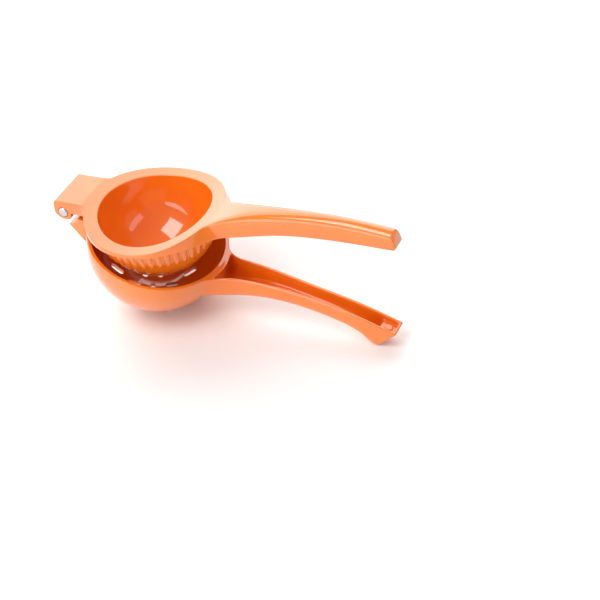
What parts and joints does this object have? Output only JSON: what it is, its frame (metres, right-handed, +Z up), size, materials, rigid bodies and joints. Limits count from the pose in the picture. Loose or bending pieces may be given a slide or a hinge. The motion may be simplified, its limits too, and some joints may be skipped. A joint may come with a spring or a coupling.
{
  "type": "hinged citrus squeezer",
  "caption": "Hand-held hinged citrus press: a ribbed press cup swings on a pin into a slotted strainer bowl, each on a long channel handle.",
  "frame": {"origin": "on the table, under the middle of the whole tool's box, with the arm standing open as stored", "axes": "+X towards the handle ends, +Y across the tool, +Z up from the table"},
  "size_m": [0.243, 0.095, 0.0959],
  "materials": {
    "enamel": "glossy orange enamel baked on cast aluminium",
    "steel": "bright polished steel"
  },
  "bodies": {
    "strainer": {"strainer_arm": "enamel"},
    "press": {"press_arm": "enamel", "hinge_pin": "steel"}
  },
  "joints": [
    {"name": "hinge", "type": "hinge", "parent": "strainer", "child": "press", "pos_m": [-0.11585, 0, 0.0713], "axis": [0, -1, 0], "range_deg": [-16.5, 150]}
  ]
}
